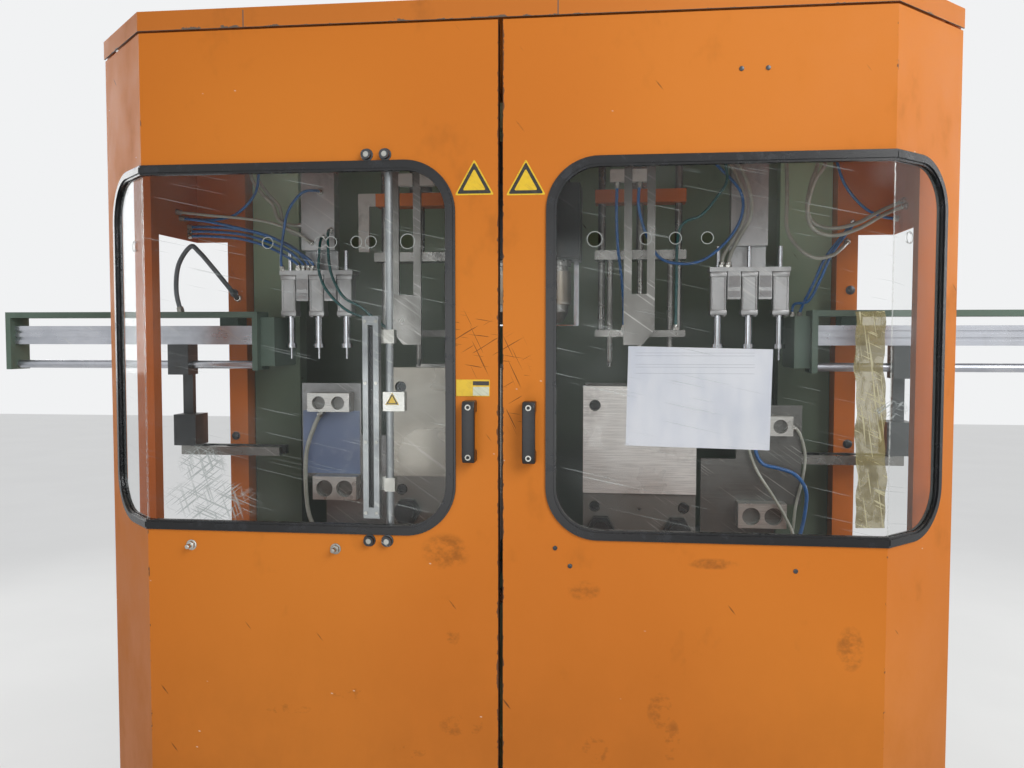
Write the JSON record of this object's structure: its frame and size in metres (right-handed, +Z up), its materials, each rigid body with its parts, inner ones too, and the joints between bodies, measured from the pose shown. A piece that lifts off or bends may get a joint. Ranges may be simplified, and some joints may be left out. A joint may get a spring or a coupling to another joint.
{
  "type": "blow moulding machine",
  "caption": "Two-station extrusion blow moulding machine, orange doors with wide wrapped windows, three cavities a side, shuttling moulds, blow pins and take-out units",
  "frame": {"origin": "centre of the outline on the floor, under the feet", "axes": "+Z up, the doors face -Y, +X is the right side seen from the doors"},
  "size_m": [2.988, 2.852, 2.672],
  "materials": {
    "orange_enamel": "semi-gloss stove enamel",
    "green_enamel": "satin enamel",
    "motor_enamel": "satin enamel",
    "dark_metal": "blackened and satin",
    "ground_steel": "ground",
    "hopper_steel": "brushed",
    "heater_sheet": "heat-tinted sheet",
    "mould_metal": "machined",
    "aluminium": "anodised",
    "chrome_rod": "hard-chromed rods",
    "clear_pane": "clear impact-proof plastic pane",
    "black_rubber": "moulded profile",
    "black_plastic": "moulded",
    "blue_hose": "air hose",
    "clear_hose": "clear air and water hose"
  },
  "bodies": {
    "frame": {"machine_bed": "green_enamel", "levelling_feet": "dark_metal", "side_walls": "orange_enamel", "rear_wall": "green_enamel", "roof_canopy": "orange_enamel", "crossbeam": "green_enamel", "shuttle_rails": "ground_steel", "rear_cabinet": "green_enamel", "valve_blocks": "aluminium", "blow_frames": "ground_steel", "blow_bridges": "orange_enamel", "spindle_units": "aluminium", "takeout_beams": "green_enamel", "linear_axes": "aluminium", "extrusion_head": "dark_metal", "die_heads": "ground_steel", "extruder_barrel": "dark_metal", "heater_bands": "heater_sheet", "feed_hopper": "hopper_steel", "gearbox": "green_enamel", "drive_motor": "motor_enamel", "blue_hoses": "blue_hose", "clear_hoses": "clear_hose"},
    "knife": {"parison_knife": "chrome_rod"},
    "screw": {"extruder_screw": "chrome_rod"},
    "door_left": {"door_left": "orange_enamel", "rubber_left": "black_rubber", "pane_left": "clear_pane", "handle_left": "black_plastic", "sensor_rail": "aluminium", "door_fittings": "dark_metal"},
    "carriage_left": {"carriage_left": "dark_metal", "manifold_left": "aluminium", "carriage_hoses_left": "clear_hose"},
    "clamp_front_left": {"front_platen_left": "ground_steel", "clamp_unit_left": "dark_metal", "mould_front_left": "mould_metal"},
    "clamp_rear_left": {"rear_platen_left": "ground_steel", "mould_rear_left": "mould_metal"},
    "blow_head_left": {"blow_head_left": "chrome_rod"},
    "spindles_left": {"spindles_left": "chrome_rod"},
    "takeout_arm_left": {"takeout_arm_left": "dark_metal"},
    "takeout_jaw_left": {"takeout_jaw_left": "dark_metal"},
    "door_right": {"door_right": "orange_enamel", "rubber_right": "black_rubber", "pane_right": "clear_pane", "handle_right": "black_plastic"},
    "carriage_right": {"carriage_right": "dark_metal", "manifold_right": "aluminium", "carriage_hoses_right": "blue_hose"},
    "clamp_front_right": {"front_platen_right": "ground_steel", "clamp_unit_right": "dark_metal", "mould_front_right": "mould_metal"},
    "clamp_rear_right": {"rear_platen_right": "ground_steel", "mould_rear_right": "mould_metal"},
    "blow_head_right": {"blow_head_right": "chrome_rod"},
    "spindles_right": {"spindles_right": "chrome_rod"},
    "takeout_arm_right": {"takeout_arm_right": "dark_metal"},
    "takeout_jaw_right": {"takeout_jaw_right": "dark_metal"}
  },
  "joints": [
    {"name": "door_left_hinge", "type": "hinge", "parent": "frame", "child": "door_left", "pos_m": [-0.95859, -1.20195, 0.15], "axis": [0, 0, -1], "range_deg": [0, 110]},
    {"name": "shuttle_left", "type": "slide", "parent": "frame", "child": "carriage_left", "axis": [0.9063, 0, 0.4226], "range_m": [-0.118, 0.218]},
    {"name": "clamp_left", "type": "slide", "parent": "carriage_left", "child": "clamp_front_left", "axis": [0, 1, 0], "range_m": [0, 0.09]},
    {"name": "clamp_rear_left", "type": "slide", "parent": "carriage_left", "child": "clamp_rear_left", "axis": [0, -1, 0], "range_m": [0, 0.09]},
    {"name": "blow_left", "type": "slide", "parent": "frame", "child": "blow_head_left", "axis": [0, 0, -1], "range_m": [0, 0.155]},
    {"name": "spindle_left", "type": "slide", "parent": "frame", "child": "spindles_left", "axis": [0, 0, -1], "range_m": [0, 0.06]},
    {"name": "takeout_left", "type": "slide", "parent": "frame", "child": "takeout_arm_left", "axis": [-1, 0, 0], "range_m": [-0.12, 0.4]},
    {"name": "jaw_left", "type": "slide", "parent": "takeout_arm_left", "child": "takeout_jaw_left", "axis": [0, -1, 0], "range_m": [0, 0.025]},
    {"name": "door_right_hinge", "type": "hinge", "parent": "frame", "child": "door_right", "pos_m": [0.95859, -1.20195, 0.15], "axis": [0, 0, 1], "range_deg": [0, 110]},
    {"name": "shuttle_right", "type": "slide", "parent": "frame", "child": "carriage_right", "axis": [0.9063, 0, -0.4226], "range_m": [-0.2207, 0]},
    {"name": "clamp_right", "type": "slide", "parent": "carriage_right", "child": "clamp_front_right", "axis": [0, -1, 0], "range_m": [0, 0.09]},
    {"name": "clamp_rear_right", "type": "slide", "parent": "carriage_right", "child": "clamp_rear_right", "axis": [0, 1, 0], "range_m": [0, 0.09]},
    {"name": "blow_right", "type": "slide", "parent": "frame", "child": "blow_head_right", "axis": [0, 0, -1], "range_m": [0, 0.155]},
    {"name": "spindle_right", "type": "slide", "parent": "frame", "child": "spindles_right", "axis": [0, 0, -1], "range_m": [0, 0.06]},
    {"name": "takeout_right", "type": "slide", "parent": "frame", "child": "takeout_arm_right", "axis": [1, 0, 0], "range_m": [-0.12, 0.4]},
    {"name": "jaw_right", "type": "slide", "parent": "takeout_arm_right", "child": "takeout_jaw_right", "axis": [0, -1, 0], "range_m": [0, 0.025]},
    {"name": "knife_slide", "type": "slide", "parent": "frame", "child": "knife", "axis": [0, -1, 0], "range_m": [0, 0.11]},
    {"name": "screw_turn", "type": "hinge", "parent": "frame", "child": "screw", "pos_m": [0, 0.016, 1.885], "axis": [0, 1, 0], "continuous": true}
  ],
  "couplings": [
    {"joint": "clamp_rear_left", "follows": "clamp_left", "ratio": 1},
    {"joint": "clamp_rear_right", "follows": "clamp_right", "ratio": 1}
  ]
}
